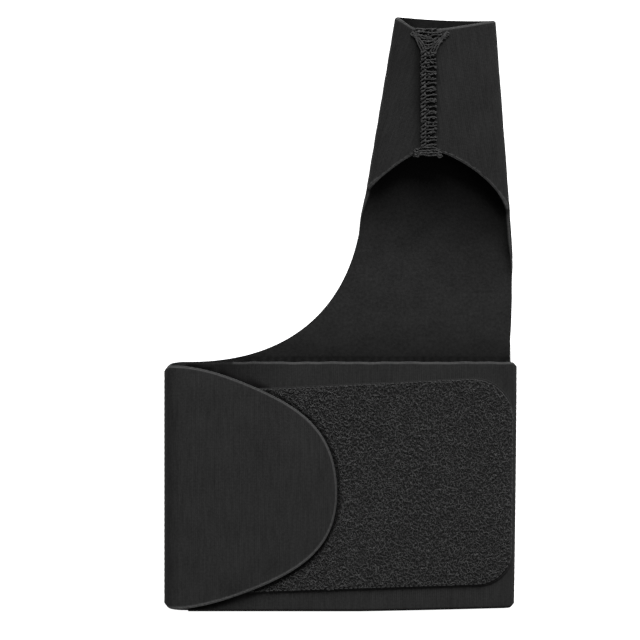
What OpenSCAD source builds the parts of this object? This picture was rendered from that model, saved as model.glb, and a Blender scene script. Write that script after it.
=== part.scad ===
// Right-hand thumb and wrist wrap, lying flat with its closing tongue pressed down.
// Sizes in millimetres. X across the wrist band, Y towards the thumb tip, Z up.
// The cloth is one blank of three bonded layers: outer knit, foam core, inner lining.
// Each layer is cut into zones where the blank folds or where it moves.

/* [Wrist band] */
// width of the band, folded flat
band_w = 102; // [94:1:112]
// height of the band along the forearm
band_h = 72; // [66:1:78]
// free height between the back and the front layer
band_gap = 5; // [4.6:0.2:7]
// distance from the left fold to the hidden end of the front layer
front_start = 9.6; // [9.4:0.2:13]
// rounding where the cut edges meet the folds
corner_r = 2; // [1:0.5:3]

/* [Cloth] */
// thickness of the outer knit
knit_t = 0.35; // [0.25:0.05:0.5]
// thickness of the foam core
core_t = 0.5; // [0.3:0.05:0.7]
// thickness of the inner lining
lining_t = 0.35; // [0.25:0.05:0.5]

/* [Tongue] */
// reach of the tongue from the left fold to its tip
tongue_len = 49.6; // [44:0.2:54]
// how blunt the nose of the tongue is
tongue_blunt = 0.016; // [0:0.002:0.03]

/* [Loop patch] */
// length of the loop patch across the band
loop_w = 86; // [80:1:86]
// height of the loop patch
loop_h = 59.6; // [54:0.2:61]
// corner radius of the loop patch
loop_r = 10; // [6:0.5:12]
// slight tilt of the loop patch, in degrees
loop_tilt = 2.3; // [0:0.1:2.5]
// thickness of the patch backing
loop_back_t = 0.3; // [0.2:0.05:0.4]
// height of the pile of loops
pile_t = 0.6; // [0.4:0.1:0.8]

/* [Hook patch] */
// thickness of the hook backing
hook_back_t = 0.3; // [0.2:0.05:0.4]
// height of the hooks
hook_t = 0.3; // [0.2:0.05:0.4]
// share of the tongue's size that the hook patch takes
hook_share = 0.92; // [0.85:0.01:0.95]
// length of the hook patch measured back from the tongue's tip
hook_len = 30; // [22:1:32]

/* [Thumb sleeve] */
// whole height, from the lower band edge to the sleeve's mouth
total_h = 172; // [164:1:180]
// width of the sleeve at its mouth
mouth_w = 29; // [26:0.5:32]
// distance of the mouth's right side from the band's centre line
mouth_right = 44.8; // [44:0.2:46]
// lean of the sleeve's left side, in degrees
lean_l = 9.5; // [8:0.5:10]
// lean of the sleeve's right side, in degrees
lean_r = 4.3; // [3.5:0.1:4.5]
// free height inside the sleeve
sleeve_gap = 4.6; // [4.4:0.2:6]
// height of the arch where the two wings meet
arch_y = 133; // [128:1:136]
// where the left wing starts to turn forward
left_start_y = 121.4; // [119:0.2:123]
// where the right wing starts to turn forward
right_start_y = 107.5; // [106:0.5:112]
// width of the joint between the two wings
seam_slit = 0.2; // [0.1:0.1:0.4]

/* [Bend zone] */
// middle of the zone where the sleeve bends off the band
bend_y = 88; // [86:1:92]
// length of the bend zone
bend_len = 12; // [8:1:13]

/* [Seam thread] */
// width of the zigzag column
zig_w = 5.2; // [4:0.2:6]
// length of one zigzag
zig_pitch = 1.7; // [1.4:0.1:2.4]
// thickness of the thread
thread_t = 0.45; // [0.35:0.05:0.6]

/* [Hidden] */
$fn = 96;
eps = 0.1;
t = knit_t + core_t + lining_t;
// layer i: 0 knit, 1 core, 2 lining; depth below the outer face
d0 = [0, knit_t, knit_t + core_t];
d1 = [knit_t, knit_t + core_t, t];
band_t = 2 * t + band_gap;
r_right = band_t / 2;
stack_t = loop_back_t + pile_t + eps + hook_t + hook_back_t;
full_t = band_t + stack_t + t;
r_left = full_t / 2;
x_left = -band_w / 2 + r_left;
x_right = band_w / 2 - r_right;
sleeve_t = 2 * t + sleeve_gap;
r_sleeve = sleeve_t / 2;
bend_y0 = bend_y - bend_len / 2;
bend_y1 = bend_y + bend_len / 2;
mouth_left = mouth_right - mouth_w;
seam_x = mouth_left + 9.6;
tongue_cy = band_h / 2 - 0.2;
tongue_b = band_h / 2 - 0.8;
tongue_cx = -band_w / 2 + 0.4;
tongue_a = tongue_len - 0.4;
loop_cx = x_right + 2.2 - loop_w / 2;
loop_cy = band_h / 2;
knit_col = [0.16, 0.16, 0.165];
core_col = [0.32, 0.32, 0.33];
lining_col = [0.13, 0.13, 0.135];
pile_col = [0.2, 0.2, 0.21];
thread_col = [0.1, 0.1, 0.1];

// x of the sleeve's sides and of the lines its folds turn about
function side_l(y) = mouth_left - (total_h - y) * tan(lean_l);
function side_r(y) = mouth_right + (total_h - y) * tan(lean_r);
function axis_l(y) = side_l(y) + r_sleeve / cos(lean_l);
function axis_r(y) = side_r(y) - r_sleeve / cos(lean_r);

// upper edge of the back of the sleeve: it sags, and its right end is 1.2 mm lower
function top_y(s) = total_h - 3.2 * s + 2 * s * s;
back_top = [for (i = [0:8]) [mouth_left + mouth_w * i / 8, top_y(i / 8)]];

function curve(p, q, r, s, n = 14) = [for (i = [0:n]) let (u = i / n, v = 1 - u)
    v * v * v * p + 3 * u * v * v * q + 3 * u * u * v * r + u * u * u * s];

// the hollow left side of the stem, running tangent out of the band
stem_side = curve(
    [-0.44 * band_w, band_h], [-2, band_h],
    [side_l(104) - 0.6, 103], [side_l(108.5), 108.5], 18);

// lower edges of the two wings, drawn from the seam outwards
left_arch = curve(
    [seam_x, arch_y], [seam_x - 5, arch_y - 0.5],
    [seam_x - 12, arch_y - 6.3], [side_l(left_start_y) - 1, left_start_y - 0.8]);
right_arch = curve(
    [side_r(right_start_y) + 0.4, right_start_y], [side_r(right_start_y) + 0.6, right_start_y + 17],
    [seam_x + 4, arch_y + 0.5], [seam_x, arch_y], 16);

// upper edge of the front of the sleeve, dipping at the seam
mouth_edge = curve(
    [mouth_left - 1.5, total_h], [mouth_left + 7.2, total_h - 3],
    [mouth_left + 0.4, total_h - 6.7], [mouth_right + 1.5, total_h - 1], 14);

// ---- flat outlines ----

module strip(y0, y1) {
    translate([-100, y0]) square([200, y1 - y0]);
}

module left_of_l(y0) {
    polygon([[axis_l(y0), y0], [axis_l(total_h + 9), total_h + 9], [-90, total_h + 9], [-90, y0]]);
}

module right_of_r(y0) {
    polygon([[axis_r(y0), y0], [axis_r(total_h + 9), total_h + 9], [90, total_h + 9], [90, y0]]);
}

// band and stem are one cut of cloth, so the flat back is one outline
module back_outline() {
    polygon(concat([[x_right, 0], [x_left, 0], [x_left, band_h]], stem_side, back_top, [
        [side_r(107), 107],
        [side_r(107) - 0.1, 96],
        [side_r(107) - 0.7, band_h],
        [x_right, band_h]]));
}

module front_of_sleeve() {
    polygon(concat(left_arch,
        [[side_l(left_start_y) - 3, left_start_y]],
        mouth_edge,
        [[side_r(right_start_y) + 1.5, right_start_y - 1]],
        right_arch));
}

module band_outline() {
    translate([-band_w / 2 + corner_r, 0]) square([band_w - 2 * corner_r, band_h]);
    translate([-band_w / 2, corner_r]) square([band_w, band_h - 2 * corner_r]);
    for (x = [-1, 1], y = [corner_r, band_h - corner_r])
        translate([x * (band_w / 2 - corner_r), y]) circle(corner_r);
}

module tongue_outline(k = 1) {
    polygon([for (a = [-90:6:90])
        let (n = 1 + tongue_blunt * (cos(2 * a) - 0.85 * cos(6 * a) - 0.45 * sin(3 * a) + 0.15))
        [tongue_cx + (1 - k) * 8 + k * tongue_a * n * cos(a), tongue_cy + k * tongue_b * n * sin(a)]]);
}

module loop_outline() {
    translate([loop_cx, loop_cy]) rotate(loop_tilt) {
        square([loop_w - 2 * loop_r, loop_h], center = true);
        square([loop_w, loop_h - 2 * loop_r], center = true);
        for (x = [-1, 1], y = [-1, 1])
            translate([x * (loop_w / 2 - loop_r), y * (loop_h / 2 - loop_r)]) circle(loop_r);
    }
}

// ---- solid helpers ----

module place() {
    translate([0, -total_h / 2, 0]) children();
}

module slab(z0, z1) {
    translate([0, 0, z0]) linear_extrude(z1 - z0) children();
}

module along_y(y0, y1) {
    translate([0, y1, 0]) rotate([90, 0, 0]) linear_extrude(y1 - y0) children();
}

// half ring on one side of the z axis: side -1 opens right, +1 opens left
module half_ring(r, i, side) {
    difference() {
        circle(r - d0[i]);
        circle(r - d1[i]);
        translate([side > 0 ? eps - 2 * r : -eps, -2 * r]) square([2 * r, 4 * r]);
    }
}

// ---- one layer of each zone ----

module back_layer(i) {
    place() slab(d0[i], d1[i]) intersection() {
        back_outline();
        strip(-1, bend_y0);
    }
}

module bend_layer(i) {
    place() slab(d0[i], d1[i]) intersection() {
        back_outline();
        strip(bend_y0, bend_y1 - eps);
    }
}

module left_fold_layer(i) {
    place() intersection() {
        translate([x_left, 0, r_left]) along_y(0, band_h - 1.1) half_ring(r_left, i, -1);
        slab(-1, full_t + 1) band_outline();
    }
}

module right_fold_layer(i) {
    place() intersection() {
        translate([x_right, 0, r_right]) along_y(0, band_h) half_ring(r_right, i, 1);
        slab(-1, band_t + 1) band_outline();
    }
}

module front_layer(i) {
    x0 = front_start - band_w / 2;
    place() slab(band_t - d1[i], band_t - d0[i])
        translate([x0, 0]) square([x_right - x0 - eps, band_h]);
}

module tongue_layer(i) {
    place() slab(full_t - d1[i], full_t - d0[i]) intersection() {
        tongue_outline();
        translate([x_left + eps, 0]) square([band_w, band_h]);
    }
}

module sleeve_back_layer(i) {
    place() slab(d0[i], d1[i]) difference() {
        intersection() {
            back_outline();
            strip(bend_y1, total_h);
        }
        left_of_l(left_start_y);
        right_of_r(right_start_y);
    }
}

// both halves of a sleeve fold: the lower one starts at y0, the upper one at the arch
module fold_limits(y0) {
    slab(-1, r_sleeve)
        polygon(concat([[80, y0], [-30, y0], [-30, top_y(0)]], back_top, [[80, top_y(1)]]));
    slab(r_sleeve, sleeve_t + 1) front_of_sleeve();
}

module sleeve_left_fold_layer(i) {
    place() intersection() {
        translate([axis_l(100), 100, r_sleeve]) rotate([0, 0, -lean_l])
            along_y(0, total_h - 80) half_ring(r_sleeve, i, -1);
        fold_limits(left_start_y);
    }
}

module sleeve_right_fold_layer(i) {
    place() intersection() {
        translate([axis_r(90), 90, r_sleeve]) rotate([0, 0, lean_r])
            along_y(0, total_h - 70) half_ring(r_sleeve, i, 1);
        fold_limits(right_start_y);
    }
}

module left_wing_layer(i) {
    place() slab(sleeve_t - d1[i], sleeve_t - d0[i]) difference() {
        front_of_sleeve();
        left_of_l(60);
        translate([seam_x - seam_slit / 2, 60]) square([90, total_h]);
    }
}

module right_wing_layer(i) {
    place() slab(sleeve_t - d1[i], sleeve_t - d0[i]) difference() {
        front_of_sleeve();
        right_of_r(60);
        translate([seam_x + seam_slit / 2 - 90, 60]) square([90, total_h]);
    }
}

// a layer glued on the front panel, carried a little way round the right fold
module on_front(h0, h1) {
    place() {
        slab(band_t + h0, band_t + h1) intersection() {
            loop_outline();
            translate([-band_w, 0]) square([band_w + x_right, band_h]);
        }
        intersection() {
            translate([x_right, 0, r_right]) along_y(0, band_h) difference() {
                circle(r_right + h1);
                circle(r_right + max(h0, 0.05));
            }
            slab(r_right, r_right + 9) intersection() {
                loop_outline();
                translate([x_right, 0]) square([9, band_h]);
            }
        }
    }
}

module under_tongue(h0, h1) {
    place() slab(full_t - t - h1, full_t - t - h0) intersection() {
        tongue_outline(hook_share);
        translate([tongue_cx + tongue_a - hook_len, 0]) square([hook_len, band_h]);
    }
}

// a bar of thread between two points
module stitch(p, q) {
    v = q - p;
    translate(p) rotate(atan2(v[1], v[0])) {
        translate([0, -thread_t / 2]) square([norm(v), thread_t]);
        circle(thread_t / 2, $fn = 16);
    }
    translate(q) circle(thread_t / 2, $fn = 16);
}

seam_y0 = arch_y + 1.4;
seam_n = floor((total_h - 10.4 - seam_y0) / zig_pitch);
seam_y1 = seam_y0 + seam_n * zig_pitch;

// ---- the pieces ----

module wrist_back_knit() { color(knit_col) back_layer(0); }
module wrist_back_core() { color(core_col) back_layer(1); }
module wrist_back_lining() { color(lining_col) back_layer(2); }

module left_fold_knit() { color(knit_col) left_fold_layer(0); }
module left_fold_core() { color(core_col) left_fold_layer(1); }
module left_fold_lining() { color(lining_col) left_fold_layer(2); }

module right_fold_knit() { color(knit_col) right_fold_layer(0); }
module right_fold_core() { color(core_col) right_fold_layer(1); }
module right_fold_lining() { color(lining_col) right_fold_layer(2); }

module front_panel_knit() { color(knit_col) front_layer(0); }
module front_panel_core() { color(core_col) front_layer(1); }
module front_panel_lining() { color(lining_col) front_layer(2); }

module loop_patch_backing() { color(thread_col) on_front(0, loop_back_t); }
module loop_patch_pile() { color(pile_col) on_front(loop_back_t, loop_back_t + pile_t); }

module tongue_knit() { color(knit_col) tongue_layer(0); }
module tongue_core() { color(core_col) tongue_layer(1); }
module tongue_lining() { color(lining_col) tongue_layer(2); }

module hook_patch_backing() { color(thread_col) under_tongue(0, hook_back_t); }
module hook_patch_hooks() { color(pile_col) under_tongue(hook_back_t, hook_back_t + hook_t); }

module stem_bend_knit() { color(knit_col) bend_layer(0); }
module stem_bend_core() { color(core_col) bend_layer(1); }
module stem_bend_lining() { color(lining_col) bend_layer(2); }

module sleeve_back_knit() { color(knit_col) sleeve_back_layer(0); }
module sleeve_back_core() { color(core_col) sleeve_back_layer(1); }
module sleeve_back_lining() { color(lining_col) sleeve_back_layer(2); }

module sleeve_left_fold_knit() { color(knit_col) sleeve_left_fold_layer(0); }
module sleeve_left_fold_core() { color(core_col) sleeve_left_fold_layer(1); }
module sleeve_left_fold_lining() { color(lining_col) sleeve_left_fold_layer(2); }

module sleeve_right_fold_knit() { color(knit_col) sleeve_right_fold_layer(0); }
module sleeve_right_fold_core() { color(core_col) sleeve_right_fold_layer(1); }
module sleeve_right_fold_lining() { color(lining_col) sleeve_right_fold_layer(2); }

module left_wing_knit() { color(knit_col) left_wing_layer(0); }
module left_wing_core() { color(core_col) left_wing_layer(1); }
module left_wing_lining() { color(lining_col) left_wing_layer(2); }

module right_wing_knit() { color(knit_col) right_wing_layer(0); }
module right_wing_core() { color(core_col) right_wing_layer(1); }
module right_wing_lining() { color(lining_col) right_wing_layer(2); }

// two crossing zigzags, one from each looper of the flat seam
module seam_zigzag_thread() {
    color(thread_col) place() slab(sleeve_t, sleeve_t + thread_t)
        for (i = [0:seam_n - 1], s = [-1, 1]) {
            y = seam_y0 + i * zig_pitch;
            stitch([seam_x - s * zig_w / 2, y], [seam_x + s * zig_w / 2, y + zig_pitch / 2]);
            stitch([seam_x + s * zig_w / 2, y + zig_pitch / 2], [seam_x - s * zig_w / 2, y + zig_pitch]);
        }
}

// stitches spreading out of the column's top end
module seam_top_tack() {
    color(thread_col) place() slab(sleeve_t, sleeve_t + thread_t)
        intersection() {
            for (k = [-3:3])
                stitch([seam_x + k * 0.7, seam_y1 + 0.6], [seam_x + k * 1.8, seam_y1 + 4.2 - abs(k) * 0.1]);
            front_of_sleeve();
        }
}

// stitches spreading out of the column's lower end
module seam_lower_tack() {
    color(thread_col) place() slab(sleeve_t, sleeve_t + thread_t)
        intersection() {
            for (k = [-3:3])
                stitch([seam_x + k * 0.75, seam_y0 - 0.7], [seam_x + k * 1.35, arch_y - 1.2]);
            front_of_sleeve();
        }
}

wrist_back_knit();
wrist_back_core();
wrist_back_lining();
left_fold_knit();
left_fold_core();
left_fold_lining();
right_fold_knit();
right_fold_core();
right_fold_lining();
front_panel_knit();
front_panel_core();
front_panel_lining();
loop_patch_backing();
loop_patch_pile();
tongue_knit();
tongue_core();
tongue_lining();
hook_patch_backing();
hook_patch_hooks();
stem_bend_knit();
stem_bend_core();
stem_bend_lining();
sleeve_back_knit();
sleeve_back_core();
sleeve_back_lining();
sleeve_left_fold_knit();
sleeve_left_fold_core();
sleeve_left_fold_lining();
sleeve_right_fold_knit();
sleeve_right_fold_core();
sleeve_right_fold_lining();
left_wing_knit();
left_wing_core();
left_wing_lining();
right_wing_knit();
right_wing_core();
right_wing_lining();
seam_zigzag_thread();
seam_top_tack();
seam_lower_tack();
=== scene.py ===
import math

import bpy
import numpy as np
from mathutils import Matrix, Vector
from mathutils.geometry import delaunay_2d_cdt


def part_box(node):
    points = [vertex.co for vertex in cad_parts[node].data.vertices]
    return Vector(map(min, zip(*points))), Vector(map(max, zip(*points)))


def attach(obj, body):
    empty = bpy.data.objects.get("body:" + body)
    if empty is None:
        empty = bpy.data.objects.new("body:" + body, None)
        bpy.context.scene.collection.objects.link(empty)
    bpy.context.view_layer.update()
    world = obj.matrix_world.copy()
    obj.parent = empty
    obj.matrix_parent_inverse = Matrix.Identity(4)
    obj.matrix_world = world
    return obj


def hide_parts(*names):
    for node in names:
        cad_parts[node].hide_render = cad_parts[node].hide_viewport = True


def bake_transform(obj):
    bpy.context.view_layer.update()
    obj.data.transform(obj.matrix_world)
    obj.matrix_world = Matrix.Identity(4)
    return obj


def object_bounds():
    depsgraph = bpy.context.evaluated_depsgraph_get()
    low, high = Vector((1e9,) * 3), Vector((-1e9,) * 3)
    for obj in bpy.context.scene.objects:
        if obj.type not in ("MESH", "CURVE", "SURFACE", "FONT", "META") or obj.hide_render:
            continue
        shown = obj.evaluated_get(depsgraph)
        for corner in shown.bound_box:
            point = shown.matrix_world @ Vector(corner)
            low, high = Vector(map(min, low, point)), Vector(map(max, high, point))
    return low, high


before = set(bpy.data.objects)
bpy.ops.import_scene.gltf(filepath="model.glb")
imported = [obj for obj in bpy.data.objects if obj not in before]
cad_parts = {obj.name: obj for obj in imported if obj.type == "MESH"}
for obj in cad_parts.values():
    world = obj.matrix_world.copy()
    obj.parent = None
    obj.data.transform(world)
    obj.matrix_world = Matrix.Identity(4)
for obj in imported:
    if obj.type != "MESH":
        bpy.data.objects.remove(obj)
cad_low, cad_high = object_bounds()
rng = np.random.default_rng(7)

# A right-hand thumb and wrist wrap, lying flat. Each cloth is drawn as a flat pattern (u, v), meshed there as
# a closed sheet, and mapped through its folds to (x, y, z). All are mm, with y = 0 on the band's lower edge;
# make_object turns them into metres in the shared frame.

# ---------------------------------------------------------------- sizes, in mm, from the frame
MM = 0.001


def node_box(name):
    low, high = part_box(name)
    return np.array(low) / MM, np.array(high) / MM


LENGTH = (cad_high.y - cad_low.y) / MM
Y_SHIFT = cad_low.y / MM                      # the band's lower edge, from y = 0 in the flat pattern
panel_low, panel_high = node_box("front_panel_knit")
tongue_low, tongue_high = node_box("tongue_knit")
BAND_H = panel_high[1] - panel_low[1]
HALF_W = cad_high.x / MM
X_LEFT = tongue_low[0] - 0.1                  # where the left fold starts
X_RIGHT = panel_high[0] + 0.1                 # where the right fold starts
PANEL_END = panel_low[0] - 4.5                # the front panel's hidden end, further in than its solid's
CLOTH = panel_high[2] - node_box("front_panel_lining")[0][2]
H = CLOTH / 2
BAND_T = panel_high[2]
FULL_T = tongue_high[2]
SLEEVE_T = node_box("left_wing_knit")[1][2]
R_RIGHT = BAND_T / 2 - H
R_LEFT = FULL_T / 2 - H
R_SLEEVE = SLEEVE_T / 2 - H
MOUTH_LEFT, MOUTH_RIGHT = 15.8, 44.8
LEAN_L, LEAN_R = math.radians(9.5), math.radians(4.3)
SEAM_X = MOUTH_LEFT + 9.6
ARCH_Y = 133.0
LEFT_START, RIGHT_START = 121.4, 107.5        # where the wings leave the silhouette
JOIN_Y = BAND_H - 1.0                         # hidden joins between the cloth pieces
JOIN_X = X_LEFT + 2.0
STEM_X = X_RIGHT + 2.1                        # the stem's right edge where it leaves the band
BEVEL = 0.6                                   # width of the slanting cut edge
RIM = BEVEL * 0.7                             # the part of it that the rim's painted shade covers
CUT_STEP, JOIN_STEP = 0.7, 1.5                # spacing of outline points on cut edges and on hidden joins
FRONT = 3                                     # cloth higher than this is on the sleeve's front
CHUNK = 4000                                  # points measured at a time, to save memory


def smooth(t):
    t = np.clip(t, 0, 1)
    return t * t * (3 - 2 * t)


def fade(value, start, span):
    """0 up to start, rising smoothly to 1 over the span."""
    return smooth((value - start) / span)


def side_l(y):
    return MOUTH_LEFT - (LENGTH - y) * np.tan(LEAN_L)


def side_r(y):
    return MOUTH_RIGHT + (LENGTH - y) * np.tan(LEAN_R)


def axis_l(y):
    return side_l(y) + (R_SLEEVE + H) / np.cos(LEAN_L)


def axis_r(y):
    return side_r(y) - (R_SLEEVE + H) / np.cos(LEAN_R)


def bezier(p, q, r, s, n=40):
    t = np.linspace(0, 1, n + 1)[:, None]
    p, q, r, s = (np.array(a, float) for a in (p, q, r, s))
    return (1 - t) ** 3 * p + 3 * t * (1 - t) ** 2 * q + 3 * t * t * (1 - t) * r + t ** 3 * s


def resample(points, step):
    """The same line with its points about a step apart."""
    points = np.array(points, float)
    seg = np.linalg.norm(np.diff(points, axis=0), axis=1)
    s = np.concatenate([[0], np.cumsum(seg)])
    n = max(1, int(round(s[-1] / step)))
    t = np.linspace(0, s[-1], n + 1)
    return np.stack([np.interp(t, s, points[:, 0]), np.interp(t, s, points[:, 1])], 1)


# ---------------------------------------------------------------- from the flat pattern to space
def wave(x, y, a, seed):
    """A slow unevenness of the cloth, in mm."""
    return a * (np.sin(x * 0.081 + seed) * np.sin(y * 0.067 + 1.7 * seed)
                + 0.5 * np.sin(x * 0.17 - y * 0.12 + 2.3 * seed))


def taper(x, y):
    """The right fold runs in a little towards the band's lower edge."""
    return x - 0.8 * np.clip((BAND_H - y) / BAND_H, 0, 1) ** 1.5 * fade(x, 25, 22)


def map_band(u, v, h):
    """Back layer, right fold and front panel. u runs round the band, h towards the lining."""
    s = np.maximum(u - X_RIGHT, 0)
    phi = np.minimum(s / R_RIGHT, math.pi)
    rest = np.maximum(s - math.pi * R_RIGHT, 0)
    x = np.minimum(u, X_RIGHT) + (R_RIGHT - h) * np.sin(phi) - rest
    z = H + R_RIGHT - (R_RIGHT - h) * np.cos(phi)
    front = fade(s, math.pi * R_RIGHT * 0.75, 8)
    z = z + front * wave(x, v, 0.10, 1.0)
    return np.stack([taper(x, v), v, z], 1)


def tongue_drop(x, y):
    """How far the tongue's rim settles towards what lies under it."""
    rim = outline_gap(x, y)
    settle = 1 - smooth(rim / 9.0)
    beyond = fade(np.abs(y - BAND_H / 2), 27, 6)
    away = fade(x, X_LEFT, 10)
    return settle * away * (0.35 + 0.25 * beyond)


def map_tongue(u, v, h):
    """Left fold and tongue. s runs from the back layer round the fold, h towards the lining."""
    s = X_LEFT - u
    phi = np.clip(s / R_LEFT, 0, math.pi)
    rest = np.maximum(s - math.pi * R_LEFT, 0)
    flat = np.minimum(s, 0)
    x = X_LEFT - flat - (R_LEFT - h) * np.sin(phi) + rest
    z = FULL_T / 2 - (R_LEFT - h) * np.cos(phi)
    z = z - np.where(rest > 0, tongue_drop(x, v), 0)
    return np.stack([x, v, z], 1)


RIDGE = 1.9                                   # how far the sleeve's front rises above flat
CURL_END = 9.0                                # the stem's edge is flat this far above the band
# where each side starts to roll over, and over what length
LEFT_ROLL, RIGHT_ROLL = (-14.0, 14.0), (-17.0, 16.0)


def sleeve_side(u, v, right):
    """Distance beyond a side fold's axis line and along it, the line's start, and its two directions."""
    lean = LEAN_R if right else LEAN_L
    y0 = RIGHT_START if right else LEFT_START
    x0 = axis_r(y0) if right else axis_l(y0)
    along = np.array([-math.sin(lean) if right else math.sin(lean), math.cos(lean)])
    out = np.array([math.cos(lean) if right else -math.cos(lean), math.sin(lean)])
    du, dv = u - x0, v - y0
    return du * out[0] + dv * out[1], du * along[0] + dv * along[1], (x0, y0), along, out


def sleeve_bulge(x, y, z):
    """The front of the sleeve rises to a soft ridge along the seam."""
    t = np.clip((x - axis_l(y)) / (axis_r(y) - axis_l(y)), 0, 1)
    ridge = (SEAM_X - axis_l(y)) / (axis_r(y) - axis_l(y))
    q = np.where(t < ridge, t / ridge, (1 - t) / (1 - ridge))
    up = smooth((z - SLEEVE_T * 0.3) / (SLEEVE_T * 0.6))
    return up * RIDGE * np.clip(1.15 * q - 0.15 * q ** 3, 0, 1) * fade(y, 104, 34)


def map_thumb(u, v, h):
    """Stem and sleeve. k is one over the radius the cloth is rolled to; h runs towards the lining."""
    pos = np.stack([u, v, np.full_like(u, H) + h], 1)
    # the stem's right edge still curls where the band's fold ends
    s = np.maximum(u - X_RIGHT, 0)
    k = np.maximum((1 - fade(v, BAND_H, CURL_END)) / R_RIGHT, 1e-5)
    low = (v < BAND_H + CURL_END) & (s > 0)
    phi = s * k
    curl = np.stack([X_RIGHT + np.sin(phi) / k - h * np.sin(phi), v,
                     H + (1 - np.cos(phi)) / k + h * np.cos(phi)], 1)
    pos[low] = curl[low]
    for right in (False, True):
        n, m, (x0, y0), along, out = sleeve_side(u, v, right)
        k = fade(m, *(RIGHT_ROLL if right else LEFT_ROLL)) / R_SLEEVE
        use = (n > 0) & (k > 1e-4)
        k = np.maximum(k, 1e-4)
        phi = np.minimum(n * k, math.pi)
        rest = np.maximum(n - math.pi / k, 0)
        e = np.sin(phi) / k - h * np.sin(phi) - rest
        x = x0 + m * along[0] + e * out[0]
        y = y0 + m * along[1] + e * out[1]
        z = H + (1 - np.cos(phi)) / k + h * np.cos(phi)
        bent = np.stack([x, y, z], 1)
        pos[use] = bent[use]
    pos[:, 2] += sleeve_bulge(pos[:, 0], pos[:, 1], pos[:, 2])
    pos[:, 0] = np.where(pos[:, 1] < BAND_H + 1, taper(pos[:, 0], pos[:, 1]), pos[:, 0])
    return pos


def flat_of_top(points, right):
    """Points on the front of the sleeve, seen from above, as places in the flat pattern."""
    points = np.array(points, float)
    e, m, (x0, y0), along, out = sleeve_side(points[:, 0], points[:, 1], right)
    e = np.minimum(e, R_SLEEVE)
    n = np.where(e > 0, R_SLEEVE * (math.pi - np.arcsin(np.clip(e / R_SLEEVE, -1, 1))),
                 math.pi * R_SLEEVE - e)
    return np.stack([x0 + m * along[0] + n * out[0], y0 + m * along[1] + n * out[1]], 1)


# ---------------------------------------------------------------- outlines
def tongue_radius(a):
    """The rim's distance from its centre, as a share of an ellipse's."""
    return (0.9972 + 0.0183 * np.cos(2 * a) + 0.0077 * np.cos(4 * a) - 0.0137 * np.cos(6 * a)
            - 0.0071 * np.sin(a) - 0.0074 * np.sin(3 * a))


TONGUE_C = np.array([-HALF_W + 0.4, BAND_H / 2 - 0.2])
TONGUE_A, TONGUE_B = 49.1, BAND_H / 2 - 0.8


def tongue_edge(n, k=1.0):
    """The tongue's rim in n points from the top corner round to the lower one, k times its size."""
    a = np.linspace(math.pi / 2, -math.pi / 2, n)
    r = tongue_radius(a) * k
    fuller = np.where(a > 0, 0.55, 0.3) * np.sin(2 * a)
    x = TONGUE_C[0] + TONGUE_A * r * np.cos(a)
    y = TONGUE_C[1] + TONGUE_B * r * np.sin(a) + fuller
    return np.stack([x, y], 1)


TONGUE_RIM = tongue_edge(700)


def outline_gap(x, y):
    """Distance of a point from the tongue's rim, in mm."""
    p = np.stack([x, y], 1)
    out = np.empty(len(p))
    for i in range(0, len(p), CHUNK):
        q = p[i:i + CHUNK]
        out[i:i + CHUNK] = np.sqrt(((q[:, None] - TONGUE_RIM[None]) ** 2).sum(-1)).min(1)
    return out


def low_edge(u):
    """The band's lower edge rises a little towards the right fold."""
    x = np.where(u > X_RIGHT + math.pi * R_RIGHT / 2, 2 * X_RIGHT + math.pi * R_RIGHT - u, u)
    return np.clip((x - 5) / 46, 0, 1) ** 1.2


def rim_painted_shadow(x, y):
    """Painted shadow: a narrow dark line just outside the tongue's rim, on what it closes against."""
    return 1 - 0.92 * (1 - fade(outline_gap(x, y), 0.7, 0.6))


BAND_END = X_RIGHT + math.pi * R_RIGHT + (X_RIGHT - PANEL_END)


def band_outline():
    """Loop of (points, is a cut edge) runs, anticlockwise."""
    turn = math.pi * R_RIGHT / 2
    corner = 2

    def nick(u):
        """How far the cut edge draws in at the middle of the right fold."""
        return 0.8 * np.exp(-((u - X_RIGHT - turn) / 1.5) ** 2)

    u = np.linspace(JOIN_X, BAND_END - corner, 220)
    bottom = np.stack([u, nick(u) + low_edge(u)], 1)
    v = np.linspace(corner, BAND_H - corner, 60)
    right = np.stack([np.full_like(v, BAND_END), v], 1)
    u = np.linspace(BAND_END - corner, STEM_X, 200)
    ripple = 0.05 * np.sin(u * 0.31) + 0.05 * np.sin(u * 0.83 + 1)
    top = np.stack([u, BAND_H - nick(u) + ripple * fade(u, X_RIGHT + turn, 8)], 1)
    cut = np.concatenate([bottom, right, top])
    join = np.array([[STEM_X, BAND_H - 0.25], [STEM_X, JOIN_Y], [JOIN_X, JOIN_Y], [JOIN_X, 0.0]])
    return [(resample(cut, CUT_STEP), True), (resample(join, JOIN_STEP), False)]


def tongue_outline():
    """Runs round the tongue's blank: the fold's strip of cloth, drawn in at its middle, and the rim."""
    s = np.linspace(-2, math.pi * R_LEFT, 60)
    arc = np.clip(s / (math.pi * R_LEFT), 0, 1)
    nick = 1.5 * np.exp(-((s - math.pi * R_LEFT / 2) / 2.6) ** 2)
    rim = tongue_edge(150)
    rim = rim[rim[:, 0] >= X_LEFT + 0.2]
    rim_u = X_LEFT - (math.pi * R_LEFT + rim[:, 0] - X_LEFT)
    top_v = BAND_H + arc * (rim[0, 1] - BAND_H) - nick
    low_v = arc * rim[-1, 1] + nick
    cut = np.concatenate([np.stack([X_LEFT - s, top_v], 1), np.stack([rim_u, rim[:, 1]], 1),
                          np.stack([X_LEFT - s, low_v], 1)[::-1]])
    join = np.array([[JOIN_X, 0.0], [JOIN_X, BAND_H]])
    return [(resample(cut, CUT_STEP), True), (resample(join, JOIN_STEP), False)]


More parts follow.
